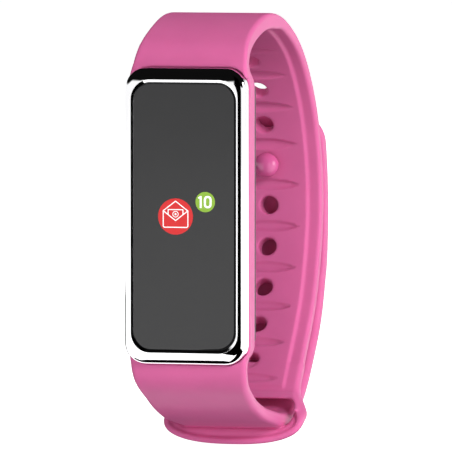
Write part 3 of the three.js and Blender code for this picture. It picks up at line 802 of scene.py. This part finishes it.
floor_finish = material("floor_paper", (0.86, 0.86, 0.86), 0.85, vary=0.01, vary_scale=3.0, grain=0.0)
floor_bsdf = floor_finish.node_tree.nodes["Principled BSDF"]
floor_bsdf.inputs["Emission Color"].default_value = (1, 1, 1, 1)
floor_bsdf.inputs["Emission Strength"].default_value = 0.95
floor = disc_piece("floor", 6.0, FLOOR_Z, floor_finish)
floor.visible_diffuse = False
floor.visible_shadow = False

flag_finish = bpy.data.materials.new("flag")
flag_finish.use_nodes = True
flag_bsdf = flag_finish.node_tree.nodes["Principled BSDF"]
flag_bsdf.inputs["Base Color"].default_value = (0, 0, 0, 1)
flag_bsdf.inputs["Specular IOR Level"].default_value = 0.0


def flag(name, corners):
    """A black card that only reflections see."""
    mesh = bpy.data.meshes.new(name)
    mesh.from_pydata(corners, [], [list(range(len(corners)))])
    made = bpy.data.objects.new(name, mesh)
    bpy.context.scene.collection.objects.link(made)
    mesh.materials.append(flag_finish)
    made.visible_camera = False
    made.visible_diffuse = False
    made.visible_shadow = False
    made.visible_transmission = False
    return made


def around(azimuth, radius, z):
    a = math.radians(azimuth)
    return (math.sin(a) * radius, -math.cos(a) * radius, z)


def upright_corners(start, end):
    """A standing card between two azimuths, FLAG_REACH away."""
    return [around(start, FLAG_REACH, FLAG_FOOT), around(end, FLAG_REACH, FLAG_FOOT),
            around(end, FLAG_REACH, FLAG_TOP), around(start, FLAG_REACH, FLAG_TOP)]


# The flat cards lie just above the floor.
FLAG_REACH, FLAG_FOOT, FLAG_TOP = 0.7, -0.0344, 0.5
FLAT_FLAG_Z, NEAR_FLAG_Z = -0.0342, -0.0341
flag("front_flag", upright_corners(-8, 24))
flag("floor_flag", [around(-8, 0.06, FLAT_FLAG_Z), around(24, 0.06, FLAT_FLAG_Z),
                    around(24, FLAG_REACH, FLAT_FLAG_Z), around(-8, FLAG_REACH, FLAT_FLAG_Z)])
flag("near_flag", [(x, y, NEAR_FLAG_Z) for x, y in (
    (-0.02, -0.036), (0.003, -0.037), (0.012, -0.062), (0.035, -0.062), (0.035, -0.026), (-0.02, -0.026))])
flag("back_flag", upright_corners(184, 206))
flag("rear_floor_flag", [(x, y, FLAT_FLAG_Z) for x, y in (
    (-0.35, -0.012), (0.012, -0.012), (0.012, FLAG_REACH), (-0.35, FLAG_REACH))])

world = bpy.data.worlds.new("studio")
bpy.context.scene.world = world
world.use_nodes = True
wn, wl = world.node_tree.nodes, world.node_tree.links
direction = wn.new("ShaderNodeTexCoord")
split = wn.new("ShaderNodeSeparateXYZ")
wl.new(direction.outputs["Generated"], split.inputs[0])
sky = wn.new("ShaderNodeValToRGB")
height = wn.new("ShaderNodeMapRange")
height.inputs["From Min"].default_value = -1.0
wl.new(split.outputs["Z"], height.inputs["Value"])
sky.color_ramp.elements[0].position, sky.color_ramp.elements[1].position = 0.46, 0.635
sky.color_ramp.elements[0].color = (0.3, 0.3, 0.3, 1)
sky.color_ramp.elements[1].color = (0.004, 0.004, 0.004, 1)
for place_on_ramp in (0.49, 0.595):
    sky.color_ramp.elements.new(place_on_ramp).color = (1, 1, 1, 1)
wl.new(height.outputs["Result"], sky.inputs["Fac"])
wl.new(sky.outputs["Color"], wn["Background"].inputs["Color"])
wn["Background"].inputs["Strength"].default_value = 1.05


def direction_to(azimuth, elevation):
    """Unit vector away from the band: degrees round from the front, and degrees up."""
    a, e = math.radians(azimuth), math.radians(elevation)
    return Vector((math.sin(a) * math.cos(e), -math.cos(a) * math.cos(e), math.sin(e)))


def softbox(name, azimuth, elevation, distance, size, power, glossy=False):
    """A square area light that faces the object."""
    light = bpy.data.lights.new(name, "AREA")
    light.shape = "SQUARE"
    light.size = size
    light.energy = power
    made = bpy.data.objects.new(name, light)
    bpy.context.scene.collection.objects.link(made)
    out = direction_to(azimuth, elevation)
    made.location = out * distance
    made.rotation_euler = out.to_track_quat("Z", "Y").to_euler()
    made.visible_camera = False
    made.visible_glossy = glossy
    return made


softbox("right_box", 92, 14, 0.9, 0.5, 3.6, glossy=True)
softbox("inner_box", 48, 24, 1.0, 0.3, 6.0)
softbox("front_box", 4, 7, 1.1, 0.3, 1.1)
softbox("top_box", 40, 84, 1.2, 0.6, 3.8)
softbox("low_box", 10, -38, 1.1, 0.6, 3.4)
softbox("back_box", 215, 28, 1.2, 0.8, 3.0)

camera_data = bpy.data.cameras.new("camera")
camera = bpy.data.objects.new("camera", camera_data)
bpy.context.scene.collection.objects.link(camera)
bpy.context.scene.camera = camera
camera_data.sensor_width = 36.0
camera_data.lens = camera_data.sensor_width * CAMERA_DISTANCE / (VIEW_WIDTH * MM)
camera_data.clip_start, camera_data.clip_end = 0.05, 50
back = direction_to(CAMERA_AZIMUTH, CAMERA_ELEVATION)
right = direction_to(CAMERA_AZIMUTH + 90, 0)
up = back.cross(right)
module_middle = Vector((0, MODULE_FRONT_Y * MM, MODULE_CENTRE_Z * MM))
camera.location = module_middle + back * CAMERA_DISTANCE
target = module_middle + (right * LOOK_RIGHT + up * LOOK_UP) * MM
camera.rotation_euler = (camera.location - target).to_track_quat("Z", "Y").to_euler()

bpy.context.scene.view_settings.view_transform = "Standard"
